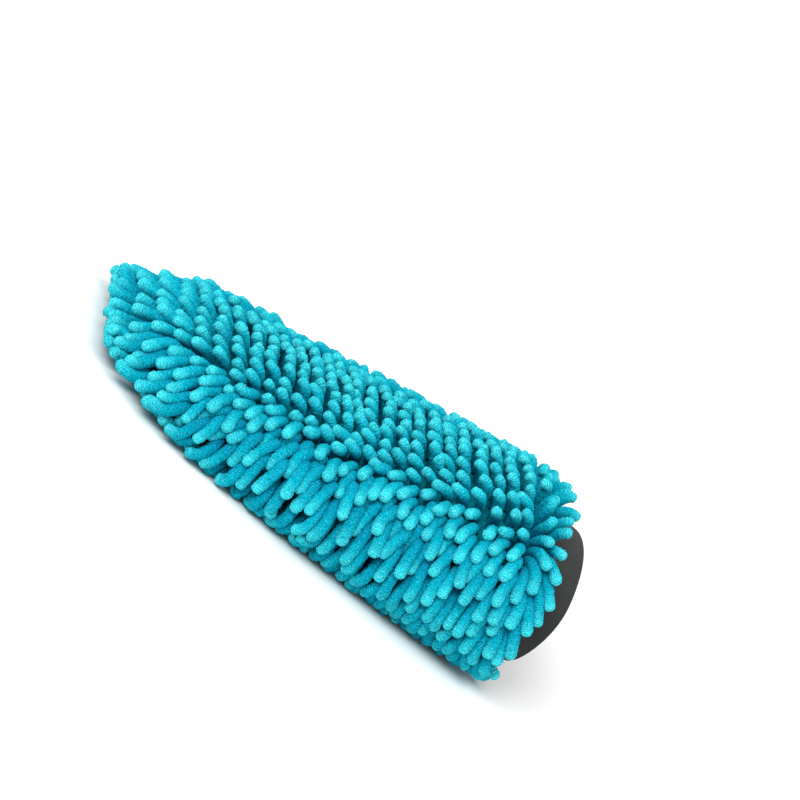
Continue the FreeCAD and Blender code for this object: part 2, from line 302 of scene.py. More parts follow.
# How unequal the noodles are, as shares of their size.
LENGTH_SPREAD = 0.05
RADIUS_SPREAD = 0.04
# Noodles are long ones out on the flank, and mostly so near the closed end.
LONG_SHARES = (0.45, 0.7)
LONG_END = 60 * MM
LONG_AT_END = 0.8
SPACING = 10.8 * MM
# The closed end's fringe: its place off the end and the seam, its width, fan and rise.
FRINGE_SPACING = 10 * MM
FRINGE_INSET = 1 * MM
FRINGE_OFFSET = 2 * MM
FRINGE_WIDTH = 0.95
FRINGE_FAN = 0.5
FRINGE_RISE = 0.25
# How far a noodle's root strays from its even place along the mitt and round it.
ROOT_STRAY = 0.5 * MM
ROOT_STRAY_ANGLE = 0.01
# The noodles are this much closer set on the flanks, which begin at a share of the half width.
FLANK_CROWDING = 0.42
FLANK_BEGINS = {"top": (0.4, 0.6), "bottom": (0.7, 0.85)}
PANEL_POINTS = 400
# The pile's cloth laps over the cuff by this much, with three more lines of noodles.
WRIST_LAP = 18 * MM
WRIST_LINES = (3 * MM, 10 * MM, 16 * MM)


def half_of(row):
    """Which panel a row of the pile is on."""
    return row.split("_")[0]


def place_row(x, half, shift, spacing):
    """Angles of evenly spaced noodles across one panel at a place along the mitt."""
    angles = np.linspace(*HALVES[half], PANEL_POINTS)
    points = skin.point(np.full_like(angles, x), angles)
    steps = np.linalg.norm(np.diff(points, axis=0), axis=1)
    outer_share = np.abs(points[1:, 1]) / np.abs(points[:, 1]).max()
    steps = steps * (1 + FLANK_CROWDING * smoothstep(*FLANK_BEGINS[half], outer_share))
    run = np.concatenate([[0], np.cumsum(steps)])
    count = int(round(run[-1] / spacing))
    # Every other row is shifted by half a place.
    places = (np.arange(count) + 0.25 + 0.5 * shift) / count * run[-1]
    return np.interp(places, run, angles)


class Pile:
    """All noodles: where each grows, which way is out, its row, and if it's the end's fringe."""

    def __init__(self):
        self.rows, self.bases, self.normals, self.fringe = [], [], [], []

    def add(self, row, bases, normals, fringe=False):
        self.rows += [row] * len(bases)
        self.fringe += [fringe] * len(bases)
        self.bases.append(bases)
        self.normals.append(normals)

    def close(self):
        """Turn the lists into arrays, once every noodle is planted."""
        self.bases = np.concatenate(self.bases)
        self.normals = np.concatenate(self.normals)
        self.on_top = np.array([half_of(row) == "top" for row in self.rows])
        self.rows = np.array(self.rows)
        self.fringe = np.array(self.fringe)
        self.count = len(self.rows)

    def outer_share(self):
        """How far out each noodle grows, from 0 at the middle line to 1 at the side seam."""
        half_width = skin.distance(self.bases[:, 0], np.zeros(self.count))
        return np.abs(self.bases[:, 1]) / half_width


def plant_row(pile, half, number):
    """One row of noodles across a panel, each a little off its even place."""
    x = tip_x + pitch * (number - 0.5)
    angles = place_row(x, half, number % 2, SPACING)
    x = x + random.normal(0, ROOT_STRAY, len(angles))
    angles = angles + random.normal(0, ROOT_STRAY_ANGLE, len(angles))
    pile.add(f"{half}_pile_row_{number:02d}", skin.point(x, angles), skin.normal(x, angles))


def plant_closed_end(pile, half):
    """The closed end's own fringe, growing out of the end of the fabric in its first row."""
    sign = 1 if half == "top" else -1
    edge_x = tip_x + FRINGE_INSET
    reach = FRINGE_WIDTH * skin.distance(edge_x, 0.0)
    across = np.arange(-reach, reach, FRINGE_SPACING) + (FRINGE_SPACING / 2 if sign > 0 else 0)
    same = np.ones_like(across)
    base_z = seam_z(edge_x) + FRINGE_OFFSET * sign
    bases = np.stack([edge_x * same, across, base_z * same], 1)
    normals = np.stack([-same, across / reach * FRINGE_FAN, FRINGE_RISE * sign * same], 1)
    pile.add(f"{half}_pile_row_01", bases, unit(normals), fringe=True)


def plant_wrist(pile, half):
    """The lines of noodles on the cloth's hem, where it laps over the cuff."""
    for number, inward in enumerate(WRIST_LINES):
        x = wrist_x + inward
        angles = place_row(x, half, (number + 1) % 2, FRINGE_SPACING)
        pile.add(f"{half}_wrist_edge", skin.point(x, angles), skin.normal(x, angles))


def plant():
    """Every noodle of both panels, in the order in which they are drawn."""
    pile = Pile()
    for half in HALVES:
        for number in range(1, ROW_COUNT + 1):
            plant_row(pile, half, number)
        plant_closed_end(pile, half)
        plant_wrist(pile, half)
    pile.close()
    return pile


# How the top panel's noodle tips are turned, from straight up through outward to straight
# down, and how much they lean to the closed end, by their roots' share of the half width.
LAY_SHARES = (0.0, 0.30, 0.48, 0.60, 0.72, 0.88, 1.0)
LAY_TURNS = (0, 18, 48, 88, 132, 160, 168)
LAY_LEANS = (0.60, 0.60, 0.56, 0.40, 0.18, 0.05, 0.0)
# Slow waves in the combing, in degrees of turn and in lean.
TURN_WAVE = 4
LEAN_WAVE = 0.08
# Each noodle's own way and own curl.
OWN_WAY = 0.04
OWN_CURL = 0.08
# Where the closed end's lay stops and the wrist's begins, as shares of the pile's length.
END_LAY_STOPS = 0.38
WRIST_LAY_BEGINS = 0.925
END_LEAN = 0.95
END_SINK = 0.55
WRIST_LEAN = 0.42
FRINGE_DROOP = np.array([0, 0, 0.8])
# How much a noodle is turned to its tip's way where it leaves the cloth.
ROOT_TURN = 0.22


def top_tips(pile, at_end, at_wrist):
    """Where the top panel's tips point: combed back on the crown and down over the flanks."""
    x, y = pile.bases[:, 0], pile.bases[:, 1]
    outer_share = pile.outer_share()
    turn_wave = np.sin(x / (17 * MM) + 2.3 * np.sin(y / (29 * MM)) + 0.6)
    lean_wave = np.sin(y / (19 * MM) + 1.9 * np.sin(x / (26 * MM)) + 1.0)
    turn = np.radians(np.interp(outer_share, LAY_SHARES, LAY_TURNS) + TURN_WAVE * turn_wave)
    lean = np.interp(outer_share, LAY_SHARES, LAY_LEANS) + LEAN_WAVE * lean_wave
    lean = lean + (END_LEAN - lean) * at_end * 0.8
    lean = lean - (lean + WRIST_LEAN - 0.06 * smoothstep(0.6, 0.8, outer_share)) * at_wrist
    upright = np.sqrt(np.clip(1 - lean ** 2, 0.05, 1))
    tips = np.stack([-lean, np.sign(y) * np.sin(turn) * upright, np.cos(turn) * upright], 1)
    tips[:, 2] -= END_SINK * at_end ** 2
    return tips


def bottom_tips(pile, at_end, at_wrist):
    """Where the bottom panel's tips point: down beside the seam, pressed flat under the palm."""
    # Each way is how far the tips point along the mitt, outward and up.
    sideways = np.sign(pile.bases[:, 1])
    under = 1 - smoothstep(0.75, 0.92, pile.outer_share())
    along_x = -0.75 * at_end - 0.05 + 0.5 * at_wrist
    hanging = np.stack([along_x, 0.2 * sideways, -np.ones(pile.count)], 1)
    pressed_x = 0.9 * (2 * at_wrist - 1)
    pressed = np.stack([pressed_x, 0.5 * sideways, np.full(pile.count, -0.15)], 1)
    return hanging * (1 - under)[:, None] + pressed * under[:, None]


def lay_directions(pile):
    """The direction of each stretch of each noodle, as combed and drooping by itself."""
    share = np.clip((pile.bases[:, 0] - tip_x) / (wrist_x + WRIST_LAP - tip_x), 0, 1)
    at_end = 1 - smoothstep(0.0, END_LAY_STOPS, share)
    at_wrist = smoothstep(WRIST_LAY_BEGINS, 1.0, share)
    own_way = random.normal(0, OWN_WAY, (pile.count, 3))
    own_curl = random.normal(0, OWN_CURL, (pile.count, 3))
    lays = (top_tips(pile, at_end, at_wrist), bottom_tips(pile, at_end, at_wrist))
    tips = np.where(pile.on_top[:, None], *lays)
    tips = unit(np.where(pile.fringe[:, None], pile.normals - FRINGE_DROOP, tips))
    stretches = NODE_COUNT - 1
    directions = np.zeros((pile.count, stretches, 3))
    for k in range(stretches):
        s = (k + 0.5) / stretches
        turned = ROOT_TURN + (1 - ROOT_TURN) * smoothstep(0, 0.75, s)
        lie = unit(pile.normals * (1 - turned) + tips * turned)
        directions[:, k] = unit(lie + own_way + own_curl * s)
    return directions


def noodle_sizes(pile):
    """Lengths and radii: shorter and finer in the crown's thin pile than where they hang."""
    near_end = 1 - smoothstep(0, LONG_END, pile.bases[:, 0] - tip_x)
    on_flank = smoothstep(*LONG_SHARES, pile.outer_share())
    hanging = np.maximum(on_flank, LONG_AT_END * near_end)
    lengths = CROWN_LENGTH + (FLANK_LENGTH - CROWN_LENGTH) * hanging
    radii = CROWN_RADIUS + (FLANK_RADIUS - CROWN_RADIUS) * hanging
    own_lengths = random.normal(1, LENGTH_SPREAD, pile.count)
    own_radii = random.normal(1, RADIUS_SPREAD, pile.count)
    return lengths * own_lengths, radii * own_radii


# ======== letting the pile settle

SETTLE_STEPS = 320
# The noodles' radius where they touch each other, and how near a pair is worth watching.
TOUCH_RADIUS = 3.0 * MM
WATCHED = 2 * TOUCH_RADIUS + 1.5 * MM
STEPS_PER_WATCH = 4
# The shares of an overlap, and of a reach beyond the pile's space, that a step takes away.
PUSH_SHARE = 0.45
PULL_SHARE = 0.3
# The root can't move, and the next node moves less easily than the others.
NODE_WEIGHTS = np.array([0, 0.3] + [1.0] * (NODE_COUNT - 2))
# How firmly a noodle keeps its own lay near its root and near its tip.
ROOT_HOLD = 0.30
TIP_HOLD = 0.10
# The share of that firmness which is gone when the pile has settled.
FIRMNESS_LOST = 0.85
# The first free node is still close to the root, so it may be nearer to the cloth.
FIRST_NODE_SHARE = 0.7
# How far noodles may stand proud of the pile's own space, and each one's share of that.
PROUD = 6 * MM
PROUD_SHARES = (0.6, 1.4)
# How far the closed end's fringe is combed in, and over which length.
COMBED_IN = 12 * MM
COMBED_IN_REACH = 70 * MM
# The least height of the noodles' middles, and how much more the closed end's fringe has.
FLOOR_HEIGHT = 1.1 * FLANK_RADIUS
END_LIFT = 6 * MM
END_LIFT_REACH = 90 * MM


def near_pairs(points, reach, owner):
    """Pairs of points of different noodles that are closer than a reach."""
    cells = np.floor(points / reach).astype(np.int64)
    cells -= cells.min(axis=0) - 1
    size = cells.max(axis=0) + 2
    keys = (cells[:, 0] * size[1] + cells[:, 1]) * size[2] + cells[:, 2]
    order = np.argsort(keys, kind="stable")
    sorted_keys = keys[order]
    everyone = np.arange(len(points))
    firsts, seconds = [], []
    # Each point looks for others in its own cell and in all the cells round it.
    for a, b, c in itertools.product((-1, 0, 1), repeat=3):
        wanted = keys + (a * size[1] + b) * size[2] + c
        start = np.searchsorted(sorted_keys, wanted, "left")
        lengths = np.searchsorted(sorted_keys, wanted, "right") - start
        first = np.repeat(everyone, lengths)
        skips = np.arange(lengths.sum()) - np.repeat(np.cumsum(lengths) - lengths, lengths)
        second = order[np.repeat(start, lengths) + skips]
        keep = (first < second) & (owner[first] != owner[second])
        first, second = first[keep], second[keep]
        close = np.sum((points[first] - points[second]) ** 2, axis=1) < reach * reach
        firsts.append(first[close])
        seconds.append(second[close])
    return np.concatenate(firsts), np.concatenate(seconds)


def push_apart(points, first, second, weight):
    """Move touching points apart, each by its share of the overlap."""
    gap = points[first] - points[second]
    length = np.maximum(np.linalg.norm(gap, axis=1), 1e-9)
    overlap = np.maximum(2 * TOUCH_RADIUS - length, 0) * PUSH_SHARE
    total = np.maximum(weight[first] + weight[second], 1e-9)
    move = gap / length[:, None] * overlap[:, None]
    for moved, sign in ((first, 1), (second, -1)):
        step = move * (sign * weight[moved] / total)[:, None]
        for axis in range(3):
            points[:, axis] += np.bincount(moved, step[:, axis], len(points))


def round_the_line(points):
    """Each point's place along X, its angle round the mitt's line and its distance from it."""
    x, y, z = points[..., 0], points[..., 1], points[..., 2] - seam_z(points[..., 0])
    return x, np.arctan2(z, y), np.hypot(y, z)


def keep_outside(nodes):
    """Keep every free node above the floor and clear of the fabric and the cuff."""
    free = nodes[:, 1:]
    x, angle, distance = round_the_line(free)
    # The skin's slopes along the mitt and round it turn a gap along the ray into a true gap.
    along, around = skin.slopes(x, angle, distance)
    steepness = np.sqrt(1 + along ** 2 + around ** 2)
    gap = (distance - skin.distance(x, angle)) / steepness
    least = TOUCH_RADIUS * np.minimum(FIRST_NODE_SHARE * np.arange(1, NODE_COUNT), 1)
    beside = (x > tip_x) & (x < rim_x + TOUCH_RADIUS)
    push = np.where(beside, np.maximum(least - gap, 0), 0) / steepness
    free[..., 0] -= along * push
    free[..., 1] += (np.cos(angle) + around * np.sin(angle)) * push
    free[..., 2] += (np.sin(angle) - around * np.cos(angle)) * push
    near_end = 1 - smoothstep(0, END_LIFT_REACH, free[..., 0] - cad_low.x)
    free[..., 2] = np.maximum(free[..., 2], FLOOR_HEIGHT + END_LIFT * near_end)


def keep_inside(nodes, freedom):
    """Pull every free node gently back into the space that the CAD gives the pile."""
    free = nodes[:, 3:]
    x, angle, distance = round_the_line(free)
    # Noodles may stand proud most of all on top, and not under the palm.
    upness = np.sin(angle)
    most = pile_skin.distance(x, angle) - TOUCH_RADIUS + freedom * (0.3 + 0.7 * upness)
    # The fringe of the closed end is combed in towards its tip, most of all near the floor.
    near_end = 1 - smoothstep(0, COMBED_IN_REACH, x - cad_low.x)
    low_down = 1 - smoothstep(-0.3, 0.6, upness)
    most = most - COMBED_IN * (near_end * low_down)
    pull = np.minimum(most - distance, 0) * PULL_SHARE
    free[..., 1] += np.cos(angle) * pull
    free[..., 2] += np.sin(angle) * pull
    free[..., 0] += np.maximum(cad_low.x + TOUCH_RADIUS - freedom - x, 0) * PULL_SHARE


def settle(pile, lengths):
    """Let the noodles droop and push each other aside, a little at a time."""
    directions = lay_directions(pile)
    stretch = (lengths / (NODE_COUNT - 1))[:, None]
    nodes = np.zeros((pile.count, NODE_COUNT, 3))
    nodes[:, 0] = pile.bases
    for k in range(1, NODE_COUNT):
        nodes[:, k] = nodes[:, k - 1] + directions[:, k - 1] * stretch
    owner = np.repeat(np.arange(pile.count), NODE_COUNT)
    weight = np.tile(NODE_WEIGHTS, pile.count)
    hold = np.linspace(ROOT_HOLD, TIP_HOLD, NODE_COUNT - 1)
    freedom = PROUD * random.uniform(*PROUD_SHARES, (pile.count, 1))
    for step in range(SETTLE_STEPS):
        # The noodles' own lay counts for less and less against what they touch.
        firmness = 1 - FIRMNESS_LOST * step / SETTLE_STEPS
        for k in range(1, NODE_COUNT):
            goal = nodes[:, k - 1] + directions[:, k - 1] * stretch
            nodes[:, k] += (goal - nodes[:, k]) * hold[k - 1] * firmness
        points = nodes.reshape(-1, 3)
        if step % STEPS_PER_WATCH == 0:
            first, second = near_pairs(points, WATCHED, owner)
        push_apart(points, first, second, weight)
        keep_inside(nodes, freedom)
        keep_outside(nodes)
        # Every stretch gets its own length back, from the root on.
        for k in range(1, NODE_COUNT):
            link = nodes[:, k] - nodes[:, k - 1]
            nodes[:, k] = nodes[:, k - 1] + unit(link) * stretch
    return nodes


# ======== meshes

def link_mesh(name, points, quads, triangles=(), attributes=None):
    """A smooth-shaded mesh object from arrays of points, quads and triangles."""
    quads = np.asarray(quads, np.int32).reshape(-1, 4)
    triangles = np.asarray(triangles, np.int32).reshape(-1, 3)
    mesh = bpy.data.meshes.new(name)
    mesh.vertices.add(len(points))
    mesh.vertices.foreach_set("co", np.asarray(points, np.float32).ravel())
    loops = np.concatenate([quads.ravel(), triangles.ravel()])
    mesh.loops.add(len(loops))
    mesh.loops.foreach_set("vertex_index", loops)
    mesh.polygons.add(len(quads) + len(triangles))
    starts = np.concatenate([
        np.arange(len(quads)) * 4, quads.size + np.arange(len(triangles)) * 3
    ])
    mesh.polygons.foreach_set("loop_start", starts.astype(np.int32))
    mesh.polygons.foreach_set("use_smooth", np.ones(len(starts), bool))
    mesh.update(calc_edges=True)
    mesh.validate()
    for key, values in (attributes or {}).items():
        layer = mesh.attributes.new(key, "FLOAT", "POINT")
        layer.data.foreach_set("value", np.asarray(values, np.float32))
    piece = bpy.data.objects.new(name, mesh)
    bpy.context.scene.collection.objects.link(piece)
    return piece


# A noodle's mesh: points round it, rings along it, and rings in its round end.
SECTORS = 14
BODY_RINGS = 74
CAP_RINGS = 6
# It's narrower where it leaves the cloth, over this many rings.
ROOT_RINGS = 8
ROOT_WIDTH = 0.4
# Its ridges across, which tilt by a share of their pitch, and its fluff, as shares of its radius.
RIDGE_PITCH = 1.25 * MM
RIDGE_TILT = 0.45
RIDGE_DEPTH = 0.035
FLUFF_DEPTH = 0.07


def curve_weights(shares):
    """Catmull-Rom weights that turn a noodle's nodes into a smooth line at some shares of it."""
    weights = np.zeros((len(shares), NODE_COUNT))
    for row, share in enumerate(shares):
        place = min(share, 1) * (NODE_COUNT - 1)
        k = min(int(place), NODE_COUNT - 2)
        t = place - k
        basis = [
            -0.5 * t + t * t - 0.5 * t ** 3,
            1 - 2.5 * t * t + 1.5 * t ** 3,
            0.5 * t + 2 * t * t - 1.5 * t ** 3,
            -0.5 * t * t + 0.5 * t ** 3,
        ]
        for offset, value in zip((-1, 0, 1, 2), basis):
            weights[row, min(max(k + offset, 0), NODE_COUNT - 1)] += value
    return weights


def noodle_outline(end_share):
    """Rings along a noodle, as shares of its length, and how wide it is at each."""
    body = np.linspace(0, 1 - end_share, BODY_RINGS)
    end_turn = np.linspace(0, math.pi / 2, CAP_RINGS + 2)[1:-1]
    shares = np.concatenate([body, 1 - end_share * (1 - np.sin(end_turn))])
    widths = np.concatenate([np.ones(BODY_RINGS), np.cos(end_turn)])
    widths[:ROOT_RINGS] *= np.linspace(ROOT_WIDTH, 1, ROOT_RINGS)
    return shares, widths


def carried_sides(tangent):
    """A sideways direction at each ring, carried along each noodle without a twist."""
    side = np.zeros_like(tangent)
    side[:, 0] = unit(np.cross(tangent[:, 0], random.normal(0, 1, (len(tangent), 3))))
    for r in range(1, tangent.shape[1]):
        last = side[:, r - 1]
        here = tangent[:, r]
        side[:, r] = unit(last - np.sum(last * here, axis=1, keepdims=True) * here)
    return side


def noodle_faces(count, rings):
    """Faces of a group of noodles. Each has the points of its rings, then its root and tip."""
    per_noodle = rings * SECTORS + 2
    here = np.arange(SECTORS)
    after = (here + 1) % SECTORS
    ring = (np.arange(rings - 1) * SECTORS)[:, None]
    next_ring = ring + SECTORS
    quads = np.stack([ring + here, ring + after, next_ring + after, next_ring + here], -1)
    last_ring = (rings - 1) * SECTORS
    root = np.full(SECTORS, per_noodle - 2)
    tip = np.full(SECTORS, per_noodle - 1)
    root_fan = np.stack([after, here, root], 1)
    tip_fan = np.stack([last_ring + here, last_ring + after, tip], 1)
    triangles = np.concatenate([root_fan, tip_fan])
    starts = (np.arange(count) * per_noodle)[:, None, None]
    quads = (quads.reshape(-1, 4) + starts).reshape(-1, 4)
    triangles = (triangles + starts).reshape(-1, 3)
    return quads, triangles


def noodle_mesh_arrays(nodes, lengths, radii):
    """Points, faces and attributes of a group of noodles: fluffy ridged cords with round ends."""
    count = len(nodes)
    shares, widths = noodle_outline(float(np.mean(radii) / np.mean(lengths)))
    rings = len(shares)
    smooth_nodes = nodes.copy()
    smooth_nodes[:, 1:-1] = (nodes[:, :-2] + 2 * nodes[:, 1:-1] + nodes[:, 2:]) / 4
    centre = np.einsum("rk,nkc->nrc", curve_weights(shares), smooth_nodes)
    tangent = unit(np.gradient(centre, axis=1))
    side = carried_sides(tangent)
    other = np.cross(tangent, side)
    # Every other ring is turned by half a sector. The cord's ridges tilt a little to its axis.
    sector = np.arange(SECTORS)[None] + 0.5 * (np.arange(rings) % 2)[:, None]
    turn = sector * 2 * math.pi / SECTORS
    tilt_turn = random.uniform(0, 2 * math.pi, count)[:, None, None]
    tilt = RIDGE_TILT * np.cos(turn[None] + tilt_turn)
    run = shares[None, :, None] * lengths[:, None, None] / RIDGE_PITCH + tilt
    ridge = 1 + RIDGE_DEPTH * np.sin(2 * math.pi * run)
    fluff = random.normal(0, FLUFF_DEPTH, (count, rings, SECTORS))
    radius = radii[:, None, None] * widths[None, :, None] * ridge * (1 + fluff)
    cos, sin = np.cos(turn)[None, :, :, None], np.sin(turn)[None, :, :, None]
    outward = side[:, :, None] * cos + other[:, :, None] * sin
    ring_points = centre[:, :, None] + outward * radius[..., None]
    ring_points = ring_points.reshape(count, -1, 3)
    points = np.concatenate([ring_points, centre[:, :1], smooth_nodes[:, -1:]], axis=1)
    quads, triangles = noodle_faces(count, rings)
    along = np.tile(np.concatenate([np.repeat(shares, SECTORS), [0, 1]]), count)
    tone = np.repeat(random.random(count), points.shape[1])
    ridges = np.concatenate([run.reshape(count, -1), run[:, 0, :1], run[:, -1, :1]], axis=1)
    attributes = {"along": along, "tone": tone, "ridges": ridges.ravel()}
    return points.reshape(-1, 3), quads, triangles, attributes


# ======== fabric pieces

BACKING_THICKNESS = 1.2 * MM
BACKING_EDGE = 0.5 * MM
# The closed end of the backing and of the lining is rounded off over this length.
NOSE = 4 * MM
# The hem stands out this far from the cuff, and starts this far under the backing.
LAP_GAP = 0.8 * MM
HEM_ROOT = 2 * MM
LINING_INSET = 3.4 * MM
LINING_THICKNESS = 0.8 * MM
LINING_FOLD = 0.7 * MM
# The lining starts this far from the closed end and laps this far over the wrist.
LINING_START = 6 * MM
LINING_LAP = 3 * MM
CUFF_THICKNESS = 3.2 * MM
# The cuff's root is tucked under the edge of the backing, and comes out between two places.
CUFF_TUCK = 3 * MM
TUCK_ENDS = (-1 * MM, 3 * MM)
RIM_POINTS = 11
RIB_PITCH = 0.8 * MM
RIB_DEPTH = 0.05 * MM
ELASTIC_THICKNESS = 1.0 * MM
# Points round a half of the mitt, and round a half of the cuff and what lies on it.
CLOTH_POINTS = 97
CUFF_POINTS = 145
# Steps along the bands of cloth.
FINE_STEP = 0.7 * MM
CUFF_INSIDE_STEP = 1.2 * MM
ELASTIC_STEP = 1.5 * MM
HEM_STEP = 2 * MM
RIDGE_STEP = 0.5 * MM
# The wrist seam: a ridge between two depths under the skin, and loops of thread over it.
RIDGE_OUTSIDE = CUFF_THICKNESS + 0.1 * MM
RIDGE_INSIDE = CUFF_THICKNESS + 1.2 * MM
SEAM_LOOPS = 75
SEAM_POINTS = 1400
LOOP_REACH = 2.2 * MM
LOOP_DEPTH = 1.35 * MM
LOOP_SWING = 0.3 * MM
LOOP_THREAD = 0.25 * MM
# The cuff's side seams: zigzag stitches along each side.
ZIGZAGS = 24
ZIGZAG_START = 1 * MM
ZIGZAG_POINTS = 500
ZIGZAG_REACH = 0.9 * MM
ZIGZAG_LIFT = 0.12 * MM
ZIGZAG_THREAD = 0.22 * MM


def grid_quads(rows, columns):
    """Quads of a grid of points, rows by columns."""
    r, c = np.meshgrid(np.arange(rows - 1), np.arange(columns - 1), indexing="ij")
    corner = r * columns + c
    return np.stack([corner, corner + 1, corner + columns + 1, corner + columns], -1).reshape(-1, 4)


def swept_band(name, profile_x, profile_inset, angles, ripple=None, nose=0.0):
    """A closed profile of places along X and insets, swept round a half of the skin.

    A band with a nose shrinks to its middle over that length at its low end, which closes it.
    """
    x, inset = profile_x[:, None], profile_inset[:, None]
    if ripple is not None:
        inset = inset + ripple(x, angles[None])
    scale = 1.0
    if nose:
        before = np.clip((x.min() + nose - x) / nose, 0, 1)
        scale = np.sqrt(np.clip(1 - before ** 2, 0, 1))
    grid = skin.point(x, angles[None], inset, scale)
    rows, columns = grid.shape[:2]
    points = grid.reshape(-1, 3)
    # The profile is closed, so the row after the last is the first.
    quads = grid_quads(rows + 1, columns) % len(points)
    ends = []
    for column, flip in ((0, False), (columns - 1, True)):
        edge = np.arange(rows) * columns + column
        middle = len(points)
        points = np.vstack([points, points[edge].mean(axis=0)])
        fan = np.stack([edge, np.roll(edge, -1), np.full(rows, middle)], 1)
        ends.append(fan[:, ::-1] if flip else fan)
    return link_mesh(name, points, quads, np.concatenate(ends))


def half_angles(half, count=CLOTH_POINTS, margin=0.0):
    """Angles round one half of the mitt, from side to side."""
    first, last = HALVES[half]
    return np.linspace(first + margin, last - margin, count)


def flat_band(name, angles, start, stop, depths, step, **shape):
    """A thin strip of cloth: out along its outer depth under the skin, back along its inner."""
    count = max(int((stop - start) / step), 2)
    out = np.linspace(start, stop, count)
    profile_x = np.concatenate([out, out[::-1]])
    return swept_band(name, profile_x, np.repeat(depths, count), angles, **shape)


def make_backings():
    """The knitted cloth that the noodles grow from, closed at the finger end."""
    material = knit_material("backing_knit", (0.000, 0.30, 0.38), 900)
    for half in HALVES:
        start, stop = tip_x - NOSE, wrist_x - BACKING_EDGE
        depths = (0, BACKING_THICKNESS)
        name = f"{half}_backing_cloth"
        piece = flat_band(name, half_angles(half), start, stop, depths, FINE_STEP, nose=NOSE)
        finish_piece(piece, material, "mitt", "backing_knit", f"{half}_backing")
        # The hem laps over the cuff.
        start, stop = wrist_x - HEM_ROOT, wrist_x + WRIST_LAP
        depths = (-LAP_GAP, 0.3 * LAP_GAP)
        angles = half_angles(half, CUFF_POINTS)
        hem = flat_band(f"{half}_wrist_hem", angles, start, stop, depths, HEM_STEP)
        finish_piece(hem, material, None, "backing_knit")
        follow_cuff(hem)


def lining_folds(x, angle):
    """How deep the lining's slack folds are at a place."""
    wave = np.sin(5 * angle + 1.5 * np.sin(x / (23 * MM))) * np.sin(x / (17 * MM) + 2 * angle)
    return LINING_FOLD * (1 + wave)


def make_linings():
    """The pocket's lining, with slack folds along the hand."""
    material = knit_material("lining_cloth", (0.030, 0.034, 0.036), 1300)
    start, stop = tip_x + LINING_START, wrist_x + LINING_LAP
    depths = (LINING_INSET, LINING_INSET + LINING_THICKNESS)
    shape = {"ripple": lining_folds, "nose": NOSE}
    for half in HALVES:
        name = f"{half}_pocket_lining"
        piece = flat_band(name, half_angles(half), start, stop, depths, FINE_STEP, **shape)
        finish_piece(piece, material, "mitt", "lining_cloth", f"{half}_lining")


def finish_piece(piece, material, body, slot, *nodes):
    """A piece's material, body and the CAD nodes that it stands for. The slot is not used."""
    piece.data.materials.append(material)
    if body:
        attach(piece, body)
    if nodes:
        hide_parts(*nodes)


def follow_cuff(piece):
    """Bake a cuff piece's place into its mesh."""
    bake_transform(piece)


def make_cuffs():
    """The cuff's two halves: a folded rib-knit tube with a rounded rim."""
    material = rib_material()
    radius = CUFF_THICKNESS / 2
    turn = np.linspace(0, math.pi, RIM_POINTS)
    root, rim_middle = wrist_x - CUFF_TUCK, rim_x - radius
    outer = np.arange(root, rim_middle, RIB_PITCH / 4)
    inner = np.arange(rim_middle, root, -CUFF_INSIDE_STEP)
    tuck_start, tuck_end = (wrist_x + place for place in TUCK_ENDS)
    tuck = BACKING_THICKNESS * (1 - smoothstep(tuck_start, tuck_end, outer))
    ribs = RIB_DEPTH * (1 + np.cos(2 * math.pi * outer / RIB_PITCH))
    rim = radius * (1 - np.cos(turn))
    profile_x = np.concatenate([outer, rim_middle + radius * np.sin(turn), inner])
    depths = np.concatenate([tuck + ribs, rim, np.full(len(inner), CUFF_THICKNESS)])
    for half, cuff_half in CUFF_HALF.items():
        angles = half_angles(half, CUFF_POINTS)
        piece = swept_band(f"cuff_{cuff_half}_knit", profile_x, depths, angles)
        finish_piece(piece, material, None, "cuff_rib_knit", f"cuff_{cuff_half}")
        follow_cuff(piece)


def make_elastics():
    """The flat elastic inside each half of the cuff's hem."""
    material = knit_material("elastic_webbing", (0.55, 0.55, 0.52), 700)
    outer = (CUFF_THICKNESS - ELASTIC_THICKNESS) / 2
    depths = (outer, outer + ELASTIC_THICKNESS)
    for half, cuff_half in CUFF_HALF.items():
        low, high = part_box(f"cuff_elastic_{cuff_half}")
        angles = half_angles(half, margin=0.03)
        name = f"elastic_{cuff_half}_band"
        piece = flat_band(name, angles, low.x, high.x, depths, ELASTIC_STEP)
        finish_piece(piece, material, None, "elastic_webbing", f"cuff_elastic_{cuff_half}")
        follow_cuff(piece)


def thread_tube(name, path, radius, sides=6):
    """A thread as a thin tube along a smooth path of points."""
    tangent = unit(np.gradient(path, axis=0))
    side = unit(np.cross(tangent, np.array([0.31, 0.52, 0.79])))
    other = np.cross(tangent, side)
    turn = np.arange(sides + 1) * 2 * math.pi / sides
    cos, sin = np.cos(turn)[None, :, None], np.sin(turn)[None, :, None]
    rings = path[:, None] + radius * (side[:, None] * cos + other[:, None] * sin)
    count = len(path)
    quads = grid_quads(count, sides + 1)
    points = np.vstack([rings.reshape(-1, 3), path[:1], path[-1:]])
    step = np.arange(sides)
    last = (count - 1) * (sides + 1)
    start_fan = np.stack([step + 1, step, np.full(sides, len(points) - 2)], 1)
    stop_fan = np.stack([last + step, last + step + 1, np.full(sides, len(points) - 1)], 1)
    return link_mesh(name, points, quads, np.concatenate([start_fan, stop_fan]))


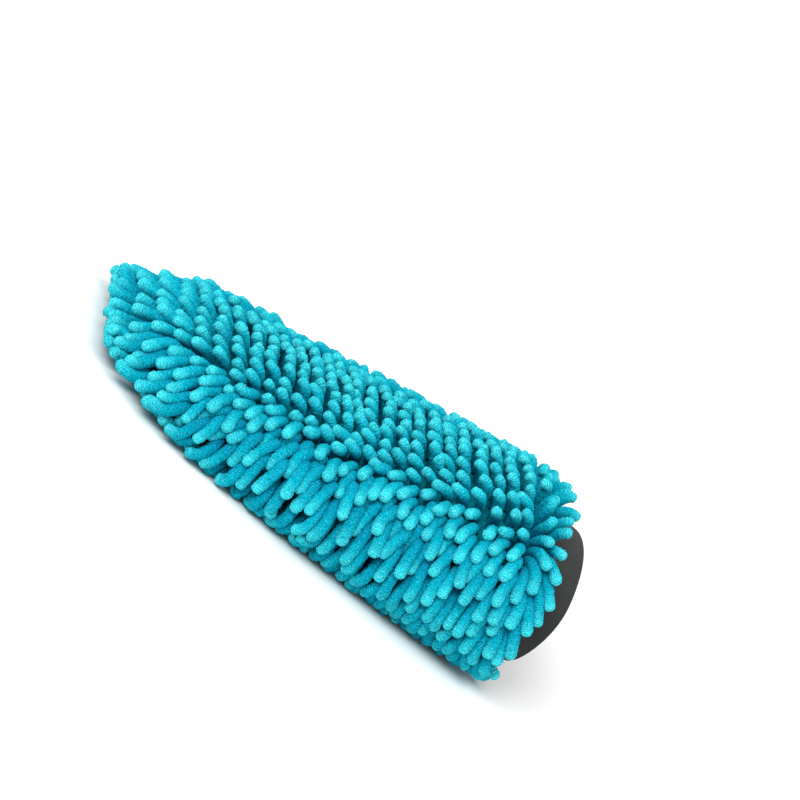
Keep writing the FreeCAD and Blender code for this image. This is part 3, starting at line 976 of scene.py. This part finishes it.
def make_wrist_seams():
    """The overlocked seam that joins the mitt to its cuff: a soft ridge under looped thread."""
    thread = thread_material()
    for half in HALVES:
        low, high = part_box(f"{half}_wrist_seam")
        angles = half_angles(half, margin=0.01)
        depths = (RIDGE_OUTSIDE, RIDGE_INSIDE)
        name = f"{half}_wrist_seam_ridge"
        ridge = flat_band(name, angles, low.x, high.x, depths, RIDGE_STEP)
        finish_piece(ridge, thread, "mitt", "seam_thread", f"{half}_wrist_seam")
        angles = half_angles(half, SEAM_POINTS, margin=0.02)
        along = np.linspace(0, 1, SEAM_POINTS) * SEAM_LOOPS * 2 * math.pi
        x = (low.x + high.x) / 2 + LOOP_REACH * np.sin(along)
        depth = CUFF_THICKNESS + LOOP_DEPTH + LOOP_SWING * np.cos(2 * along)
        path = skin.point(x, angles, depth)
        loops = thread_tube(f"{half}_wrist_overlock", path, LOOP_THREAD)
        finish_piece(loops, thread, "mitt", "seam_thread")


def make_cuff_side_seams():
    """A flat seam along each side of the cuff: zigzag stitches over a covered join."""
    thread = thread_material()
    x = np.linspace(wrist_x + ZIGZAG_START, rim_x - CUFF_THICKNESS / 2, ZIGZAG_POINTS)
    zigzag = ZIGZAG_REACH * np.sin(np.linspace(0, ZIGZAGS * 2 * math.pi, ZIGZAG_POINTS))
    # The CAD has both side seams in one node, so the first piece stands for it.
    for name, side, nodes in (("far", 0.0, ["cuff_side_seams"]), ("near", math.pi, [])):
        reach = skin.distance(x, np.full(ZIGZAG_POINTS, side))
        path = skin.point(x, side + zigzag / reach, -ZIGZAG_LIFT)
        piece = thread_tube(f"cuff_{name}_side_stitches", path, ZIGZAG_THREAD)
        finish_piece(piece, thread, "mitt", "seam_thread", *nodes)


# ======== materials

def grey(level):
    """A colour without a hue."""
    return (level, level, level)


def new_material(name):
    """A material, its nodes and its shader."""
    material = bpy.data.materials.new(name)
    material.use_nodes = True
    return material, material.node_tree, material.node_tree.nodes["Principled BSDF"]


def set_inputs(node, values):
    """Constant values, on the node's own sockets."""
    for name, value in values.items():
        node.inputs[name].default_value = value


def object_place(tree):
    """Where a point is on its piece, in metres."""
    return tree.nodes.new("ShaderNodeTexCoord").outputs["Object"]


def attribute(tree, name):
    """A value that the mesh stores at its points."""
    node = tree.nodes.new("ShaderNodeAttribute")
    node.attribute_name = name
    return node.outputs["Fac"]


def noise(tree, scale, detail=2.0, roughness=0.5):
    """Cloudy noise, with this many clouds to the metre."""
    node = tree.nodes.new("ShaderNodeTexNoise")
    set_inputs(node, {"Scale": scale, "Detail": detail, "Roughness": roughness})
    tree.links.new(object_place(tree), node.inputs["Vector"])
    return node.outputs["Fac"]


def ramp(tree, value, stops):
    """A value turned into a colour, by stops of a value and its colour."""
    node = tree.nodes.new("ShaderNodeValToRGB")
    elements = node.color_ramp.elements
    while len(elements) < len(stops):
        elements.new(0.5)
    for element, (place, colour) in zip(elements, stops):
        element.position = place
        element.color = (*colour, 1)
    tree.links.new(value, node.inputs["Fac"])
    return node.outputs["Color"]


def math_node(tree, operation, *values):
    """One arithmetic node on numbers or other nodes' outputs."""
    node = tree.nodes.new("ShaderNodeMath")
    node.operation = operation
    for socket, value in zip(node.inputs, values):
        if isinstance(value, (int, float)):
            socket.default_value = value
        else:
            tree.links.new(value, socket)
    return node.outputs[0]


def mix(tree, kind, amount, first, second):
    """Blend two nodes' colours. The amount is a number or another node's output."""
    node = tree.nodes.new("ShaderNodeMix")
    node.data_type = "RGBA"
    node.blend_type = kind
    if isinstance(amount, float):
        node.inputs["Factor"].default_value = amount
    else:
        tree.links.new(amount, node.inputs["Factor"])
    # The node has inputs of the same names for each type of data.
    first_input, second_input = [socket for socket in node.inputs if socket.type == "RGBA"]
    tree.links.new(first, first_input)
    tree.links.new(second, second_input)
    return next(socket for socket in node.outputs if socket.type == "RGBA")


def tinted(tree, colour, value, stops):
    """A colour multiplied by one that a value picks from stops."""
    return mix(tree, "MULTIPLY", 1.0, colour, ramp(tree, value, stops))


def link_looks(tree, shader, colour, height, strength, distance):
    """Give a shader its colour, and small relief from a height."""
    bump = tree.nodes.new("ShaderNodeBump")
    set_inputs(bump, {"Strength": strength, "Distance": distance})
    tree.links.new(height, bump.inputs["Height"])
    tree.links.new(bump.outputs["Normal"], shader.inputs["Normal"])
    tree.links.new(colour, shader.inputs["Base Color"])


def chenille_material():
    """Turquoise microfibre: pale fibre ends over deeper colour, with painted shade darkening each
    noodle towards its root and a painted highlight paling its tip.
    """
    material, tree, shader = new_material("chenille")
    along = attribute(tree, "along")
    fine = noise(tree, 1700, 3.0, 0.7)
    loops = noise(tree, 700, 2.0, 0.6)
    speckle = ramp(tree, fine, [
        (0.32, (0.000, 0.29, 0.38)),
        (0.48, (0.000, 0.64, 0.74)),
        (0.58, (0.005, 0.90, 0.94)),
        (0.70, (0.34, 1.00, 1.00)),
    ])
    colour = tinted(tree, speckle, loops, [(0.3, (0.70, 0.76, 0.80)), (0.65, grey(1.0))])
    # A painted highlight: a paler speckle mixed in over the last part of each noodle, strongest at
    # its tip.
    painted_tip_highlight = ramp(tree, fine, [
        (0.32, (0.010, 0.50, 0.58)),
        (0.48, (0.050, 0.88, 0.93)),
        (0.58, (0.26, 1.00, 1.00)),
        (0.70, (0.75, 1.00, 1.00)),
    ])
    at_tip = ramp(tree, along, [(0.70, grey(0.0)), (1.0, grey(0.5))])
    colour = mix(tree, "MIX", at_tip, colour, painted_tip_highlight)
    # Painted shade: each noodle is darker and bluer towards its root, where it lies deep among the
    # others, and full colour near its tip.
    colour = tinted(tree, colour, along, [
        (0.0, (0.12, 0.30, 0.48)),
        (0.45, (0.40, 0.54, 0.68)),
        (0.75, (0.70, 0.78, 0.86)),
        (0.95, grey(1.0)),
    ])
    # Pale broken lines across the noodle, where its ridges' fibre ends catch the light.
    wander = math_node(tree, "MULTIPLY", noise(tree, 420, 2.0), 1.3)
    phase = math_node(tree, "ADD", attribute(tree, "ridges"), wander)
    wave = math_node(tree, "SINE", math_node(tree, "MULTIPLY", phase, 2 * math.pi))
    crest = math_node(tree, "MULTIPLY_ADD", wave, 0.5, 0.5)
    colour = tinted(tree, colour, crest, [(0.0, (0.60, 0.74, 0.79)), (1.0, grey(1.0))])
    tone = attribute(tree, "tone")
    colour = tinted(tree, colour, tone, [(0.0, (0.84, 0.86, 0.88)), (1.0, grey(1.0))])
    set_inputs(shader, {
        "Roughness": 0.95,
        "Specular IOR Level": 0.0,
        "Sheen Weight": 0.25,
        "Sheen Roughness": 0.5,
        "Sheen Tint": (0.02, 0.8, 0.95, 1),
    })
    height = math_node(tree, "MULTIPLY_ADD", crest, 0.45, fine)
    link_looks(tree, shader, colour, height, 0.7, 0.5 * MM)
    return material


def knit_material(name, colour, scale):
    """A close plain knit: fine stitches, lighter at their crests with painted shade in the gaps
    between them, and slow changes of tone.
    """
    material, tree, shader = new_material(name)
    stitches = tree.nodes.new("ShaderNodeTexVoronoi")
    stitches.inputs["Scale"].default_value = scale
    tree.links.new(object_place(tree), stitches.inputs["Vector"])
    # Painted shade: each stitch is lighter at its middle and darker towards its edges, where the
    # bump sinks the gaps.
    low = tuple(0.55 * c for c in colour)
    high = tuple(min(1.35 * c, 1) for c in colour)
    colour = ramp(tree, stitches.outputs["Distance"], [(0.0, high), (0.7, low)])
    clouds = noise(tree, 60)
    colour = tinted(tree, colour, clouds, [(0.3, grey(0.8)), (0.7, grey(1.0))])
    set_inputs(shader, {"Roughness": 0.9, "Specular IOR Level": 0.1})
    link_looks(tree, shader, colour, stitches.outputs["Distance"], 0.5, -0.3 * MM)
    return material


def rib_material():
    """Charcoal rib knit: fine lines along the rim, lighter on the ribs and darker in their grooves
    as painted light and shade, with the yarn's grain and a faint sheen.
    """
    material, tree, shader = new_material("cuff_rib_knit")
    lines = tree.nodes.new("ShaderNodeTexWave")
    lines.bands_direction = "X"
    # The wave texture makes one band for every 2 pi / 20 of its scaled place.
    band_scale = 2 * math.pi / 20 / RIB_PITCH
    set_inputs(lines, {"Scale": band_scale, "Distortion": 0.25, "Detail": 1.0, "Detail Scale": 2.0})
    tree.links.new(object_place(tree), lines.inputs["Vector"])
    # Painted shade and light: darker in the grooves between the ribs, lighter on the ribs,
    # following the bump's height.
    rib_stops = [(0.0, (0.024, 0.027, 0.026)), (1.0, (0.062, 0.067, 0.063))]
    colour = ramp(tree, lines.outputs["Fac"], rib_stops)
    yarn = noise(tree, 2200, 2.0, 0.6)
    colour = tinted(tree, colour, yarn, [(0.3, grey(0.6)), (0.7, grey(1.0))])
    clouds = noise(tree, 45)
    colour = tinted(tree, colour, clouds, [(0.3, grey(0.86)), (0.7, grey(1.0))])
    set_inputs(shader, {
        "Roughness": 0.85,
        "Specular IOR Level": 0.15,
        "Sheen Weight": 0.15,
        "Sheen Roughness": 0.4,
    })
    link_looks(tree, shader, colour, lines.outputs["Fac"], 0.6, 0.2 * MM)
    return material


def thread_material():
    """Dark spun thread with a fine twist."""
    material, tree, shader = new_material("seam_thread")
    fibres = noise(tree, 2600, 2.0, 0.6)
    colour = ramp(tree, fibres, [(0.3, (0.020, 0.022, 0.022)), (0.7, (0.055, 0.060, 0.060))])
    set_inputs(shader, {"Roughness": 0.6})
    link_looks(tree, shader, colour, fibres, 0.4, 0.1 * MM)
    return material


# ======== the whole mitt

# The pile's last rows overhang the cuff: this many of them.
OVERHANGING_ROWS = 3


def follow_pile(piece, row):
    """The pile rides on the mitt, but the last rows, which overhang the cuff, have their place
    baked into their meshes.
    """
    half = half_of(row)
    number = int(row.split("_")[-1])
    if number <= ROW_COUNT - OVERHANGING_ROWS:
        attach(piece, "mitt")
        return
    height = skin.point(wrist_x, sum(HALVES[half]) / 2)[2]
    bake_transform(piece)


def make_noodles():
    """Every row of pile as its own piece, in place of its CAD slab."""
    pile = plant()
    lengths, radii = noodle_sizes(pile)
    nodes = settle(pile, lengths)
    material = chenille_material()
    for row in sorted(set(pile.rows)):
        chosen = pile.rows == row
        arrays = noodle_mesh_arrays(nodes[chosen], lengths[chosen], radii[chosen])
        piece = link_mesh(f"noodles_{row}", *arrays)
        if row.endswith("wrist_edge"):
            finish_piece(piece, material, None, "chenille")
            follow_cuff(piece)
        else:
            finish_piece(piece, material, None, "chenille", row)
            follow_pile(piece, row)


def dress_edge_seam():
    """The side seams stay as the CAD has them, in thread."""
    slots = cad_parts["edge_seam"].material_slots
    slots[0].material = thread_material()


make_camera()
make_studio()
make_noodles()
make_backings()
make_linings()
make_cuffs()
make_elastics()
make_wrist_seams()
make_cuff_side_seams()
dress_edge_seam()
